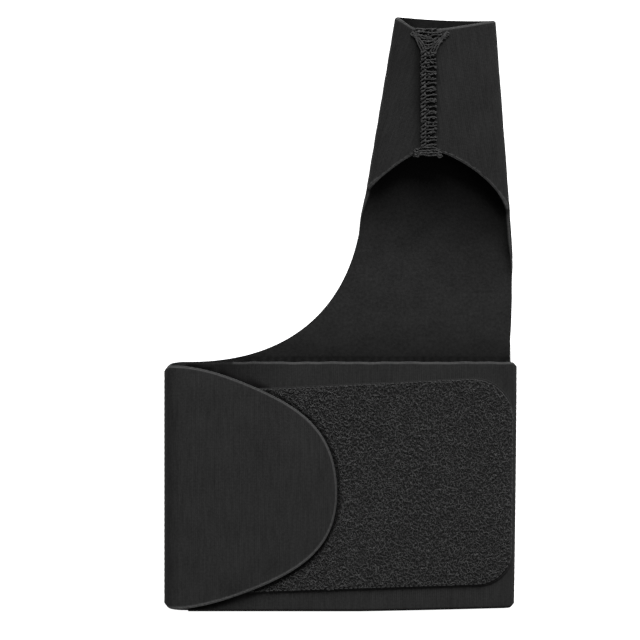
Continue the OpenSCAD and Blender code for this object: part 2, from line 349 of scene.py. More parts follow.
# the sleeve's edges as seen from above: the arch over the thumb's root, the mouth, and the stem's long hollow
SEAM_FOOT = [SEAM_X, ARCH_Y + 0.2]
LEFT_END, RIGHT_END = float(side_l(LEFT_START)), float(side_r(RIGHT_START))
LEFT_ARCH = bezier(SEAM_FOOT, [SEAM_X - 5.2, ARCH_Y - 0.4], [SEAM_X - 12.2, ARCH_Y - 6.3],
                   [LEFT_END, LEFT_START])
RIGHT_ARCH = bezier(SEAM_FOOT, [SEAM_X + 3.4, ARCH_Y + 0.6], [RIGHT_END + 1.0, RIGHT_START + 17],
                    [RIGHT_END, RIGHT_START])
MOUTH = bezier([MOUTH_LEFT - 0.3, LENGTH - 0.1], [MOUTH_LEFT + 7.4, LENGTH - 3.5],
               [MOUTH_LEFT + 0.8, LENGTH - 6.6], [MOUTH_RIGHT + 0.3, LENGTH - 1.2])
STEM = bezier([JOIN_X, BAND_H], [-2, BAND_H], [float(side_l(104)) - 0.6, 103],
              [float(side_l(108.5)), 108.5], 60)
SEAM_GAP = 0.06                               # half the gap between the two sewn edges


def lip_y(x):
    """Height of the mouth's front lip."""
    return np.interp(x, MOUTH[:, 0], MOUTH[:, 1])


def top_y(x):
    """Height of the mouth's back edge."""
    s = np.clip((x - MOUTH_LEFT) / (MOUTH_RIGHT - MOUTH_LEFT), 0, 1)
    return LENGTH - 3.2 * s + 2 * s * s


def side_run(right):
    """The blank's side edge from the flat stem to the start of the wing, in the flat pattern."""
    if right:
        start = RIGHT_START
        y = np.linspace(92, start - 0.5, 14)
        x = np.minimum(side_r(y), side_r(107.0))
    else:
        start = LEFT_START
        y = np.linspace(109, start - 0.5, 12)
        x = side_l(y)
    *_, out = sleeve_side(np.zeros(1), np.zeros(1), right)
    extra = 1.05 * fade(y, start - 13, 13)
    return np.stack([x + extra * out[0], y + extra * out[1]], 1)


def thumb_outline():
    """Runs round the blank of stem and sleeve, anticlockwise from the stem's right foot."""
    left_arch = flat_of_top(LEFT_ARCH[:-1], False)
    right_arch = flat_of_top(RIGHT_ARCH[:-1], True)
    mouth_l = flat_of_top(MOUTH[MOUTH[:, 0] < SEAM_X - 0.05], False)
    mouth_r = flat_of_top(MOUTH[MOUTH[:, 0] > SEAM_X + 0.05], True)
    seam_l, seam_r = (flat_of_top([[SEAM_X + gap, SEAM_FOOT[1]], [SEAM_X + gap, lip_y(SEAM_X)]], gap > 0)
                      for gap in (-SEAM_GAP, SEAM_GAP))
    back_x = np.linspace(float(axis_l(LENGTH)) - 1.0, float(axis_r(LENGTH)) + 1.0, 20)
    back_top = np.stack([back_x, top_y(back_x)], 1)
    foot = [STEM_X, BAND_H + 0.2]
    stem_right = np.array([foot, [X_RIGHT + 1.9, 78], [X_RIGHT + 2.2, 84], [X_RIGHT + 2.4, 91]])
    runs = [
        (np.array([[STEM_X, JOIN_Y], foot]), False),
        (np.concatenate([stem_right, side_run(True), right_arch[::-1]]), True),
        (seam_r, False),
        (np.concatenate([mouth_r, back_top[::-1], mouth_l]), True),
        (seam_l[::-1], False),
        (np.concatenate([left_arch, side_run(False)[::-1], STEM[::-1]]), True),
        (np.array([[JOIN_X, BAND_H], [JOIN_X, JOIN_Y], [STEM_X, JOIN_Y]]), False),
    ]
    return [(resample(p, CUT_STEP if cut else JOIN_STEP), cut) for p, cut in runs]


# ---------------------------------------------------------------- meshes
def inside(p, loop):
    """Which points lie inside the closed loop."""
    a, b = loop, np.roll(loop, -1, 0)
    out = np.zeros(len(p), bool)
    for i in range(0, len(p), CHUNK):
        q = p[i:i + CHUNK]
        y = q[:, 1:2]
        hit = (a[None, :, 1] > y) != (b[None, :, 1] > y)
        with np.errstate(divide="ignore", invalid="ignore"):
            x = a[None, :, 0] + (y - a[None, :, 1]) * (b - a)[None, :, 0] / (b - a)[None, :, 1]
        out[i:i + CHUNK] = ((hit & (q[:, 0:1] < x)).sum(1) % 2) == 1
    return out


def gap_to(p, a, b):
    """Distance of each point from the nearest of the segments a to b."""
    out = np.empty(len(p))
    d = b - a
    dd = np.maximum((d ** 2).sum(1), 1e-12)
    for i in range(0, len(p), CHUNK // 2):
        q = p[i:i + CHUNK // 2, None]
        t = np.clip(((q - a[None]) * d[None]).sum(-1) / dd[None], 0, 1)
        out[i:i + CHUNK // 2] = np.sqrt((((a[None] + t[..., None] * d[None]) - q) ** 2).sum(-1)).min(1)
    return out


UV_MM = 100.0       # mm of cloth to one unit of its UV map


def make_object(name, verts, faces, materials, index=None, uv=None):
    """A mesh piece; verts in mm, index the material of each face, uv the place on the flat pattern in mm."""
    verts = np.array(verts, float)
    verts = (verts + np.array([0, Y_SHIFT, 0])) * MM
    mesh = bpy.data.meshes.new(name)
    mesh.from_pydata(verts.tolist(), [], [list(map(int, f)) for f in faces])
    for m in materials:
        mesh.materials.append(m)
    if index is not None:
        mesh.polygons.foreach_set("material_index", np.array(index, np.int32))
    mesh.polygons.foreach_set("use_smooth", np.ones(len(mesh.polygons), bool))
    if uv is not None:
        layer = mesh.uv_layers.new(name="Cloth")
        corner = np.empty(len(mesh.loops), np.int32)
        mesh.loops.foreach_get("vertex_index", corner)
        layer.data.foreach_set("uv", (np.array(uv)[corner] / UV_MM).astype(np.float32).ravel())
    mesh.update()
    obj = bpy.data.objects.new(name, mesh)
    bpy.context.scene.collection.objects.link(obj)
    return obj


def set_tone(obj, values):
    """How much darker or lighter the colour is painted at each vertex: painted shade and painted light."""
    obj.data.attributes.new("tone", "FLOAT", "POINT").data.foreach_set("value", values.astype(np.float32))


PAINTED_LOW_EDGE_LIGHT = 2.8     # painted light: cut edges that face down, away from the key light, are made paler by this much
EDGE_INSETS = (0.1, 0.25, 0.42, 0.6, 1.0, 1.8)      # rows of points along a cut edge


def cloth(name, runs, fmap, materials, u_lines, v_lines, insets=EDGE_INSETS, sides=(-H, H),
          bevel=BEVEL, foot=0.7, pale=None, tone=None):
    """A closed sheet from its flat pattern: a side at each of two heights, the cut edge slanting between.

    runs is the outline; fmap takes (u, v, height) to space; foot is the edge's upright part; pale says where
    the cut edge shows its core; tone gives the painted shade and painted light on the cloth.
    """
    # the outline, anticlockwise, and which of its stretches are cut edges
    loop, cut = [], []
    for points, is_cut in runs:
        loop += list(points[:-1])
        cut += [is_cut] * (len(points) - 1)
    loop, cut = np.array(loop), np.array(cut)
    keep = np.linalg.norm(loop - np.roll(loop, 1, 0), axis=1) > 0.02
    loop, cut = loop[keep], cut[keep]
    nxt = np.roll(loop, -1, 0)
    if ((loop[:, 0] * nxt[:, 1] - nxt[:, 0] * loop[:, 1]).sum()) < 0:
        loop = loop[::-1]
        cut = np.roll(cut[::-1], -1)
        nxt = np.roll(loop, -1, 0)
    d = nxt - loop
    normal = np.stack([-d[:, 1], d[:, 0]], 1) / np.linalg.norm(d, axis=1)[:, None]
    corner = normal + np.roll(normal, 1, 0)
    corner /= np.linalg.norm(corner, axis=1)[:, None]

    # points: the outline, rows just inside its cut edges, and a staggered grid
    at_cut = cut | np.roll(cut, 1)
    points = [loop]
    for inset in insets:
        p = loop[at_cut] + corner[at_cut] * inset
        p = p[inside(p, loop)]
        points.append(p[gap_to(p, loop, nxt) > 0.9 * inset])
    gu, gv = np.meshgrid(u_lines, v_lines)
    gv = gv + (np.arange(len(u_lines)) % 2)[None, :] * (v_lines[1] - v_lines[0]) / 2
    p = np.stack([gu.ravel(), gv.ravel()], 1)
    p = p[inside(p, loop)]
    far = gap_to(p, loop[cut], nxt[cut]) > insets[-1] + 0.5
    if (~cut).any():
        far &= gap_to(p, loop[~cut], nxt[~cut]) > 0.5
    points.append(p[far])
    flat = np.concatenate(points)
    n = len(loop)
    edges = [(i, (i + 1) % n) for i in range(n)]
    verts, _, tris, *_ = delaunay_2d_cdt([Vector(q) for q in flat], edges, [list(range(n))], 1, 1e-5)

    # both sides in space
    flat = np.array([(q.x, q.y) for q in verts])
    gap = gap_to(flat, loop[cut], nxt[cut])
    slant = 1 - smooth(gap / bevel)
    nudge = 0.05
    gap_above = gap_to(flat + (0, nudge), loop[cut], nxt[cut])
    faces_down = np.clip((gap_above - gap) / nudge, 0, 1) * (gap < bevel)
    low, high = sides
    u, v = flat[:, 0], flat[:, 1]
    knit = fmap(u, v, low + (high - low - foot) * slant)
    lining = fmap(u, v, np.full(len(u), high))
    m = len(flat)
    shows = np.ones(m, bool) if pale is None else pale(u, v)
    faces, index = [], []
    used = {}
    for a, b, c in tris:
        faces.append((a, b, c))
        index.append(0)
        faces.append((c + m, b + m, a + m))
        index.append(2 if gap[[a, b, c]].mean() < bevel * 0.93 and shows[a] else 1)
        for e in ((a, b), (b, c), (c, a)):
            used[e] = used.get(e, 0) + 1
    for (a, b) in used:
        if (b, a) not in used:
            faces.append((b, a, a + m, b + m))
            index.append(2)
    obj = make_object(name, np.concatenate([lining, knit]), faces, materials, index,
                      np.concatenate([flat, flat]))
    # painted shade and painted light for both sides of the sheet, from tone
    painted_tone = np.ones(2 * m)
    if tone is not None:
        painted_tone = np.concatenate([tone(u, v, lining, True), tone(u, v, knit, False)])
    # painted light on the cut edges that face down, away from the key light
    painted_tone[m:] *= 1 + PAINTED_LOW_EDGE_LIGHT * faces_down ** 1.5 * shows
    set_tone(obj, painted_tone)
    obj["flat_area"] = float((loop[:, 0] * nxt[:, 1] - nxt[:, 0] * loop[:, 1]).sum() / 2)
    return obj


def tubes(paths, radius, sides=3):
    """paths is an array (tube, point, xyz) in mm; returns vertices and quads of closed thin tubes."""
    paths = np.array(paths, float)
    count, steps, _ = paths.shape
    t = np.gradient(paths, axis=1)
    t /= np.maximum(np.linalg.norm(t, axis=2, keepdims=True), 1e-9)
    ref = np.zeros_like(t)
    ref[..., 2] = 1
    flat = np.abs(t[..., 2]) > 0.92
    ref[flat] = (0.6, 0.8, 0)
    a = np.cross(t, ref)
    a /= np.maximum(np.linalg.norm(a, axis=2, keepdims=True), 1e-9)
    b = np.cross(t, a)
    ang = np.arange(sides) * 2 * math.pi / sides
    r = np.broadcast_to(np.asarray(radius, float), (count, steps))[..., None, None]
    spoke = a[:, :, None] * np.cos(ang)[:, None] + b[:, :, None] * np.sin(ang)[:, None]
    verts = (paths[:, :, None] + r * spoke).reshape(-1, 3)
    base = (np.arange(count) * steps * sides)[:, None, None]
    i = (np.arange(steps - 1) * sides)[None, :, None]
    j = np.arange(sides)[None, None, :]
    k = (j + 1) % sides
    here, there = base + i, base + i + sides
    quads = np.stack([here + j, here + k, there + k, there + j], -1).reshape(-1, 4)
    caps = []
    for c in range(count):
        first = c * steps * sides
        last = first + (steps - 1) * sides
        caps.append(tuple(first + q for q in reversed(range(sides))))
        caps.append(tuple(last + q for q in range(sides)))
    return verts, [tuple(q) for q in quads] + caps


# ---------------------------------------------------------------- materials
def add(tree, kind, *links, **values):
    """A node with its inputs set by number or name; a link is (input, output socket)."""
    node = tree.nodes.new(kind)
    for key, value in values.items():
        if hasattr(node, key):
            setattr(node, key, value)
        else:
            node.inputs[key.replace("_", " ")].default_value = value
    for where, source in links:
        if hasattr(source, "links"):
            tree.links.new(source, node.inputs[where])
        else:
            node.inputs[where].default_value = source
    return node


def math_node(tree, op, a, b=None):
    links = [(0, a)] + ([(1, b)] if b is not None else [])
    return add(tree, "ShaderNodeMath", *links, operation=op).outputs[0]


def start_material(name, rough, sheen, specular=0.25):
    m = bpy.data.materials.new(name)
    m.use_nodes = True
    tree = m.node_tree
    shader = tree.nodes["Principled BSDF"]
    shader.inputs["Roughness"].default_value = rough
    shader.inputs["Specular IOR Level"].default_value = specular
    shader.inputs["Sheen Weight"].default_value = sheen
    shader.inputs["Sheen Roughness"].default_value = 0.5
    return m, tree, shader


def cloth_place(tree, kind="uv"):
    """Place in mm, on the flat cloth or in the object's own space."""
    if kind == "uv":
        source, scale = add(tree, "ShaderNodeUVMap", uv_map="Cloth").outputs[0], UV_MM
    else:
        source, scale = add(tree, "ShaderNodeTexCoord").outputs["Object"], 1 / MM
    node = add(tree, "ShaderNodeMapping", (0, source))
    node.inputs["Scale"].default_value = (scale,) * 3
    return node.outputs[0]


def noise(tree, place, scale, detail=3.0, rough=0.6):
    return add(tree, "ShaderNodeTexNoise", ("Vector", place), ("Scale", scale), ("Detail", detail),
               ("Roughness", rough)).outputs["Fac"]


def colour_mix(tree, factor, dark, light):
    node = add(tree, "ShaderNodeMix", data_type="RGBA")
    tree.links.new(factor, node.inputs[0])
    node.inputs[6].default_value = (*dark, 1)
    node.inputs[7].default_value = (*light, 1)
    return node.outputs[2]


def toned(tree, colour):
    """The colour times the tone attribute, which holds painted shade and painted light."""
    tone = add(tree, "ShaderNodeAttribute", attribute_name="tone").outputs["Fac"]
    node = add(tree, "ShaderNodeVectorMath", (0, colour), operation="SCALE")
    tree.links.new(tone, node.inputs["Scale"])
    return node.outputs[0]


def grey(value):
    return (value,) * 3


def stretch(tree, value, low, high):
    return add(tree, "ShaderNodeMapRange", (0, value), (1, low), (2, high)).outputs[0]


def bump(tree, shader, height, strength, distance):
    """Relief of the given height, in metres."""
    node = add(tree, "ShaderNodeBump", ("Height", height), ("Strength", strength), ("Distance", distance))
    tree.links.new(node.outputs[0], shader.inputs["Normal"])


def knit_material(name, dark, light, rib=0.55, course=0.45):
    """Fine warp knit: upright ribs of small slanting stitches, with stray fibres and slow dye variation."""
    m, tree, shader = start_material(name, 0.9, 0.02, 0.12)
    place = cloth_place(tree)
    warp = noise(tree, place, 0.35, 2)
    x, y, _ = add(tree, "ShaderNodeSeparateXYZ", (0, place)).outputs
    x = math_node(tree, "ADD", x, math_node(tree, "MULTIPLY", warp, 0.5))
    phase = math_node(tree, "MULTIPLY", x, math.pi / rib)
    ridge = math_node(tree, "ABSOLUTE", math_node(tree, "SINE", phase))
    slant = math_node(tree, "MULTIPLY", ridge, 0.22)
    along = math_node(tree, "ADD", y, slant)
    courses = math_node(tree, "SINE", math_node(tree, "MULTIPLY", along, 2 * math.pi / course))
    stitch = math_node(tree, "MULTIPLY_ADD", courses, 0.18)
    stitch.node.inputs[2].default_value = 0.82
    height = math_node(tree, "MULTIPLY", ridge, stitch)
    fibre = noise(tree, place, 2.6, 4, 0.7)
    height = math_node(tree, "ADD", height, math_node(tree, "MULTIPLY", fibre, 0.9))
    slow = noise(tree, place, 0.09, 3)
    upright = add(tree, "ShaderNodeMapping", (0, place))
    upright.inputs["Scale"].default_value = (1.0, 0.09, 1.0)
    streak = noise(tree, upright.outputs[0], 1.3, 3, 0.7)
    grain = noise(tree, place, 1.5, 2, 0.5)
    tone = math_node(tree, "MULTIPLY", ridge, 0.1)
    parts = ((slow, 0.3, 0.7, 0.2), (fibre, 0.3, 0.7, 0.15), (streak, 0.35, 0.65, 0.3),
             (grain, 0.35, 0.65, 0.25))
    for part, low, high, share in parts:
        more = math_node(tree, "MULTIPLY", stretch(tree, part, low, high), share)
        tone = math_node(tree, "ADD", tone, more)
    tree.links.new(toned(tree, colour_mix(tree, tone, dark, light)), shader.inputs["Base Color"])
    bump(tree, shader, height, 0.5, 0.12 * MM)
    return m


def lining_material(name, dark, light):
    """The brushed inner face: short mottled nap."""
    m, tree, shader = start_material(name, 0.95, 0.02, 0.08)
    place = cloth_place(tree)
    nap = noise(tree, place, 1.1, 5, 0.75)
    slow = noise(tree, place, 0.12, 3)
    tone = math_node(tree, "ADD", math_node(tree, "MULTIPLY", stretch(tree, nap, 0.3, 0.7), 0.7),
                     math_node(tree, "MULTIPLY", stretch(tree, slow, 0.3, 0.7), 0.3))
    tree.links.new(toned(tree, colour_mix(tree, tone, dark, light)), shader.inputs["Base Color"])
    bump(tree, shader, nap, 0.5, 0.3 * MM)
    return m


def fibre_material(name, dark, light, scale, sheen=0.03, kind="uv", rough=0.85, tone=False):
    """Loose fibres: a cut edge, a thread or a pile, lighter and darker along their length."""
    m, tree, shader = start_material(name, rough, sheen)
    place = cloth_place(tree, kind)
    fibre = noise(tree, place, scale, 4, 0.7)
    colour = colour_mix(tree, stretch(tree, fibre, 0.32, 0.68), dark, light)
    tree.links.new(toned(tree, colour) if tone else colour, shader.inputs["Base Color"])
    bump(tree, shader, fibre, 0.4, 0.1 * MM)
    return m


KNIT = knit_material("charcoal_knit", grey(0.0105), grey(0.0320))
LINING = lining_material("brushed_lining", grey(0.0095), grey(0.0310))
EDGE = fibre_material("cut_edge", grey(0.030), grey(0.060), 1.3, tone=True)
BACKING = fibre_material("patch_backing", grey(0.008), grey(0.018), 1.5)
PILE_FLOOR = fibre_material("pile_floor", grey(0.009), grey(0.022), 0.9, tone=True)
CURLS = fibre_material("pile_curls", grey(0.018), grey(0.092), 0.9, 0.05, "object", tone=True)
HOOKS = fibre_material("hook_nylon", grey(0.012), grey(0.030), 0.9, 0.05, "object", 0.45)
THREAD = fibre_material("seam_thread", grey(0.010), grey(0.066), 1.0, 0.05, "object")
RIM_THREAD = fibre_material("rim_thread", grey(0.030), grey(0.060), 1.6, 0.05, "object")
SHEET = [LINING, KNIT, EDGE]


# ---------------------------------------------------------------- the cloth
def lines(start, end, step, fine=()):
    """Grid lines with a closer step inside the given spans."""
    out, q = [], start
    while q < end:
        out.append(q)
        q += next((f for a, b, f in fine if a <= q < b), step)
    return np.array(out)


def band_pale(u, v):
    """The pale core shows on the upper part of the band's rim, and on the front panel right of x = -31;
    further left the edge is kept dark as painted shade under the tongue.
    """
    return (u < 2 * X_RIGHT + math.pi * R_RIGHT + 31) & (v > 30)


def band_painted_shade(u, v, pos, is_lining):
    """Painted shade: the front panel is darker where it runs in under the tongue, where it turns over on the
    right and along its top rim, with the tongue's painted rim shadow; the lining is darker towards the top.
    """
    if is_lining:
        return 1 - 0.35 * fade(v, 60, 12)
    on_front = u > X_RIGHT
    x = np.where(on_front, pos[:, 0], 99)
    under = 1 - 0.6 * (1 - fade(x, -36, 24)) * fade(v, 50, 8)
    fold = 1 - 0.14 * fade(pos[:, 0], 42, 6)
    edge = np.where(on_front & (v > BAND_H - RIM), 0.68, 1.0)
    return under * fold * edge * np.where(on_front, rim_painted_shadow(x, v), 1)


FOLD_FINE = (X_RIGHT - 1.5, X_RIGHT + math.pi * R_RIGHT + 1.5, 0.6)
band = cloth("band_cloth", band_outline(), map_band, SHEET, lines(JOIN_X + 0.6, BAND_END, 1.7, [FOLD_FINE]),
             lines(0.8, BAND_H, 1.7), pale=band_pale, tone=band_painted_shade)
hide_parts(*[f"{part}_{layer}" for part in ("wrist_back", "right_fold", "front_panel")
                    for layer in ("knit", "core", "lining")])
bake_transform(band)

TONGUE_TIP_U = X_LEFT - (math.pi * R_LEFT + TONGUE_RIM[:, 0].max() - X_LEFT)


def tongue_painted_shade(u, v, pos, is_lining):
    """Painted shade: the tongue's cut edge is darker than the others, most of all at the top; its fold is
    darker.
    """
    rim = (pos[:, 2] > FULL_T / 2) & (outline_gap(pos[:, 0], v) < RIM)
    fold = 0.72 + 0.28 * fade(pos[:, 0], -(X_RIGHT + R_RIGHT), 2.4)
    return np.where(rim, 0.95 - 0.1 * fade(v, 14, 12) - 0.32 * fade(v, 56, 8), fold)


TONGUE_FINE = (X_LEFT - math.pi * R_LEFT - 1.5, X_LEFT + 1, 0.7)
tongue = cloth("tongue_cloth", tongue_outline(), map_tongue, SHEET,
               lines(TONGUE_TIP_U, JOIN_X, 1.6, [TONGUE_FINE]), lines(0.8, BAND_H, 1.6), tone=tongue_painted_shade)
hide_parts(*[f"{part}_{layer}" for part in ("left_fold", "tongue")
                      for layer in ("knit", "core", "lining")])
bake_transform(tongue)

thumb_runs = thumb_outline()
thumb_flat = np.concatenate([p for p, _ in thumb_runs])
thumb_low, thumb_high = thumb_flat.min(0), thumb_flat.max(0)


def thumb_pale(u, v):
    """The cut edge's pale core shows on the wings, not on the stem."""
    return np.where(u < SEAM_X, v > LEFT_START + 0.6, v > RIGHT_START + 9)


def thumb_lining_painted_shade(x, y):
    """Painted shade on the lining: darker inside the sleeve, under its arch and beside the band's edge, with
    a painted shadow line just above the band.
    """
    reach = ARCH_Y - 15.3 - 0.23 * (x - SEAM_X) - y
    out = 0.24 + 0.76 * np.clip((reach + 7) / 26, 0, 1) ** 1.25
    corner = 0.45 + 0.55 * smooth((x - axis_l(y) + 2) / 7)
    out = np.maximum(out, (0.17 + 0.33 * fade(y, 158, 9)) * corner)
    band_edge_painted_shadow = 0.5 * (1 - smooth(np.abs(y - 73.0) / 0.9))
    return out * (1 - 0.35 * (1 - fade(y, BAND_H, 13))) * (1 - band_edge_painted_shadow)


def thumb_painted_shade(u, v, pos, is_lining):
    """Painted shade on the knit: darker on the sleeve's front, and darkest in the hollow beside and under the
    seam.
    """
    x, y = pos[:, 0], pos[:, 1]
    if is_lining:
        return thumb_lining_painted_shade(x, y)
    on_front = pos[:, 2] > FRONT
    left_wing = np.where((u < SEAM_X) & on_front, 0.86 - 0.14 * fade(y, 140, 20), 1.0)
    right_wing = np.where((x > SEAM_X) & on_front, 0.87, 1.0)
    off = np.abs(x - SEAM_X)
    side = np.where(x < SEAM_X, 5.6, 3.0)
    under = 1 - fade(off, 1.9, 0.5)
    beside = (0.35 + 0.4 * fade(y, 136, 12)) * (1 - fade(off, 2.1, side - 2.1))
    seam = np.maximum(beside, 0.9 * under) * fade(y, 128, 6) * on_front
    return left_wing * right_wing * (1 - seam)


thumb = cloth("thumb_cloth", thumb_runs, map_thumb, SHEET,
              lines(thumb_low[0] + 0.4, thumb_high[0], 1.25),
              lines(thumb_low[1] + 0.4, thumb_high[1], 1.4, [(BAND_H - 0.4, BAND_H + 2.4, 0.35)]),
              pale=thumb_pale, tone=thumb_painted_shade)
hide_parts(*[f"{part}_{layer}" for part in ("stem_bend", "sleeve_back", "sleeve_left_fold",
                                                    "sleeve_right_fold", "left_wing", "right_wing")
                     for layer in ("knit", "core", "lining")])
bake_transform(thumb)

# ---------------------------------------------------------------- the loop patch
PATCH_LEFT, PATCH_RIGHT = -36.6, 50.0
BACK_T = 0.3
QUARTER_ARC = 0.552         # handle length that makes a bezier a quarter circle
CORNER_STEPS = 13           # straight steps round each corner of the patch
PATCH_FINE = (X_RIGHT - 1, 99, 0.6)


def patch_outline(grow=0.0):
    """The patch's rounded outline, set a little askew on the band."""
    left, right = PATCH_LEFT - grow, PATCH_RIGHT + grow
    corners = [(right, 68.0 + grow, 12.0), (left, 63.8 + grow, 10.0), (left, 4.9 - grow, 10.0),
               (right, 7.7 - grow, 9.0)]
    arcs = []
    for k, (x, y, r) in enumerate(corners):
        p = np.array([x, y])
        before, after = (np.array(corners[(k + j) % 4][:2]) - p for j in (-1, 1))
        a, b = (p + way / np.linalg.norm(way) * r for way in (before, after))
        arcs.append(bezier(a, a + (p - a) * QUARTER_ARC, b + (p - b) * QUARTER_ARC,
                           b, CORNER_STEPS))
    arcs = np.concatenate(arcs)
    return np.concatenate([arcs, arcs[:1]])


def map_patch(x, y, lift):
    """A place on the front panel, going on round the right fold, at a height above its knit."""
    u = np.where(x <= X_RIGHT, 2 * X_RIGHT + math.pi * R_RIGHT - x,
                 X_RIGHT + math.pi * R_RIGHT - (x - X_RIGHT) * R_RIGHT / (R_RIGHT + H))
    return map_band(u, y, -(H + lift))


backing = cloth("loop_backing_cloth", [(resample(patch_outline(), 0.8), True)], map_patch, [BACKING] * 3,
                lines(-37, 51, 1.5, [PATCH_FINE]), lines(5, 68, 1.5), insets=(0.3,), sides=(-0.02, BACK_T),
                bevel=0.2, foot=0.1)
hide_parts("loop_patch_backing")
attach(backing, "front_panel")


def pile_height(x, y):
    """Uneven nap of the pile, in mm above its backing."""
    return 0.30 + 0.10 * np.sin(x * 1.9 + 2.2 * np.sin(y * 0.9)) * np.sin(y * 2.1 + 1.8 * np.sin(x * 1.1))


def map_pile(x, y, lift):
    return map_patch(x, y, BACK_T + np.where(lift > 0.2, pile_height(x, y), lift))


# painted shade on the pile floor: the tongue's rim shadow
def pile_painted_shade(u, v, pos, is_lining):
    return rim_painted_shadow(u, v)


pile = cloth("loop_pile_cloth", [(resample(patch_outline(-0.5), 0.6), True)], map_pile, [PILE_FLOOR] * 3,
             lines(-37, 51, 0.85, [PATCH_FINE]), lines(5, 68, 0.85), insets=(0.3, 0.6),
             sides=(0.02, 0.3), bevel=0.2, foot=0.1, tone=pile_painted_shade)
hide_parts("loop_patch_pile")
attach(pile, "front_panel")


def scatter(loop, step, jitter):
    """Points inside the loop, on a grid shaken by up to the jitter."""
    low, high = loop.min(0), loop.max(0)
    gx, gy = np.meshgrid(np.arange(low[0], high[0], step), np.arange(low[1], high[1], step))
    p = np.stack([gx.ravel(), gy.ravel()], 1) + rng.uniform(-jitter, jitter, (gx.size, 2))
    return p[inside(p, loop)]


def curls(centres, step_count, half, rise, radius):
    """Small arches of yarn over the patch, each leaning its own way."""
    n = len(centres)
    ang = rng.uniform(0, 2 * math.pi, n)[:, None]
    half = half * rng.uniform(0.7, 1.3, n)[:, None]
    rise = rise * rng.uniform(0.75, 1.3, n)[:, None]
    bow = rng.uniform(-0.55, 0.55, n)[:, None]
    t = np.linspace(0, 1, step_count)[None, :]
    along = half * np.cos(math.pi * t) * (1 + 0.25 * np.sin(math.pi * t))
    side = bow * np.sin(math.pi * t)
    x = centres[:, 0:1] + along * np.cos(ang) - side * np.sin(ang)
    y = centres[:, 1:2] + along * np.sin(ang) + side * np.cos(ang)
    lift = BACK_T + 0.22 + rise * np.sin(math.pi * t) ** 0.7
    pos = map_patch(x.ravel(), y.ravel(), lift.ravel()).reshape(n, step_count, 3)
    return tubes(pos, radius * rng.uniform(0.8, 1.2, n)[:, None], 3)


rim = patch_outline(-0.7)[:-1]
spots = scatter(rim, 0.61, 0.28)
rng.shuffle(spots)
for number, group in enumerate(np.array_split(spots, 3), 1):
    verts, faces = curls(group, 6, 0.36, 0.42, 0.105)
    nap = make_object(f"loop_patch_curls_{number}", verts, faces, [CURLS])
    # the curls take the tongue's painted rim shadow
    set_tone(nap, np.repeat(rim_painted_shadow(group[:, 0], group[:, 1]), len(verts) // len(group)))
    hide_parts("loop_patch_pile")
    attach(nap, "front_panel")

# a row of stitches just inside the patch's rim
STITCH_POINTS = 5
rim = resample(patch_outline(-0.55), 1.35)[:-1]
step = np.roll(rim, -1, 0) - rim
path = rim[:, None] + step[:, None] * np.linspace(0.08, 0.74, STITCH_POINTS)[None, :, None]
lift = BACK_T + 0.16 + 0.34 * np.sin(math.pi * np.linspace(0, 1, STITCH_POINTS))
pos = map_patch(path[..., 0].ravel(), path[..., 1].ravel(), np.tile(lift, len(rim)))
verts, faces = tubes(pos.reshape(len(rim), STITCH_POINTS, 3), 0.15, 5)
stitches = make_object("loop_patch_rim_stitches", verts, faces, [RIM_THREAD])
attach(stitches, "front_panel")

# ---------------------------------------------------------------- the hook patch under the tongue
HOOK_LEFT = node_box("hook_patch_backing")[0][0]


def hook_outline(grow=0.0):
    """The tongue's nose, a little smaller, cut off straight on the left."""
    rim = tongue_edge(120, 0.92 + grow / 40)
    rim = rim[rim[:, 0] > HOOK_LEFT - grow]
    return np.concatenate([rim, rim[:1]])


def map_under(x, y, lift):
    """A place under the tongue, at a depth below its lining."""
    return map_tongue(2 * X_LEFT - math.pi * R_LEFT - x, y, H + lift)


hook_back = cloth("hook_backing_cloth", [(resample(hook_outline(), 0.8), True)], map_under, [BACKING] * 3,
                  lines(-32, 2, 1.6), lines(2, 70, 1.6), insets=(0.3,), sides=(-0.02, BACK_T),
                  bevel=0.2, foot=0.1)
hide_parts("hook_patch_backing")
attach(hook_back, "tongue")

# each hook is a short shank and then a crook of its own radius, turned up or down the patch
HOOK_POINTS, SHANK, SHANK_SHARE, CROOK_R = 7, 0.22, 0.42, 0.17
spots = scatter(hook_outline(-0.6)[:-1], 1.15, 0.12)
t = np.linspace(0, 1, HOOK_POINTS)[None, :] * 1.5
facing = np.where(rng.uniform(0, 1, len(spots)) < 0.5, -1.0, 1.0)[:, None]
bend = np.clip(t - SHANK_SHARE, 0, 1) * math.pi * 1.1
y = spots[:, 1:2] + facing * CROOK_R * (1 - np.cos(bend))
x = np.broadcast_to(spots[:, 0:1], y.shape)
lift = np.broadcast_to(BACK_T + SHANK * np.minimum(t / SHANK_SHARE, 1) + CROOK_R * np.sin(bend), y.shape)
pos = map_under(x.ravel(), y.ravel(), lift.ravel())
verts, faces = tubes(pos.reshape(len(spots), HOOK_POINTS, 3), 0.075, 4)
hooks = make_object("hook_barbs", verts, faces, [HOOKS])
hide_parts("hook_patch_hooks")
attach(hooks, "tongue")


# ---------------------------------------------------------------- the seam's threads
def sleeve_top(x, y):
    """Height of the sleeve's front."""
    return SLEEVE_T + sleeve_bulge(x, y, np.full_like(x, SLEEVE_T))


THREAD_R, THREAD_STEP = 0.24, 0.22


